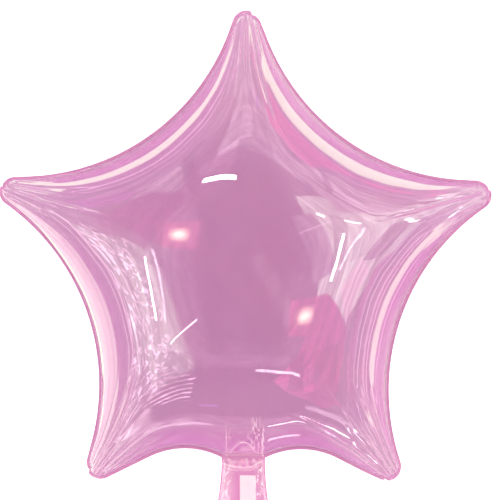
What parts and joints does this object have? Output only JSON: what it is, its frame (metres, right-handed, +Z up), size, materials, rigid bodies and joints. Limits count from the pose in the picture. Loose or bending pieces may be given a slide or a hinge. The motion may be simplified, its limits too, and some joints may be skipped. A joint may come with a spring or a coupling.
{
  "type": "star foil balloon",
  "caption": "Star balloon of clear pink film, filled: welded front and back panels with round-ended points, a puffed middle and a flat tail that holds the filling valve.",
  "frame": {"origin": "middle of the round flat that the back panel rests on, straight below the star's centre", "axes": "+Z up and out of the front panel, +Y from the tail to the top point, +X to the right when the star is seen from the front"},
  "size_m": [0.454, 0.4805, 0.1605],
  "materials": {
    "front_film": "clear pink film, high gloss",
    "back_film": "clear pink film, high gloss",
    "valve_film": "pale clear film, satin"
  },
  "bodies": {
    "root": {"front_panel": "front_film", "back_panel": "back_film", "filling_valve": "valve_film"}
  },
  "joints": []
}
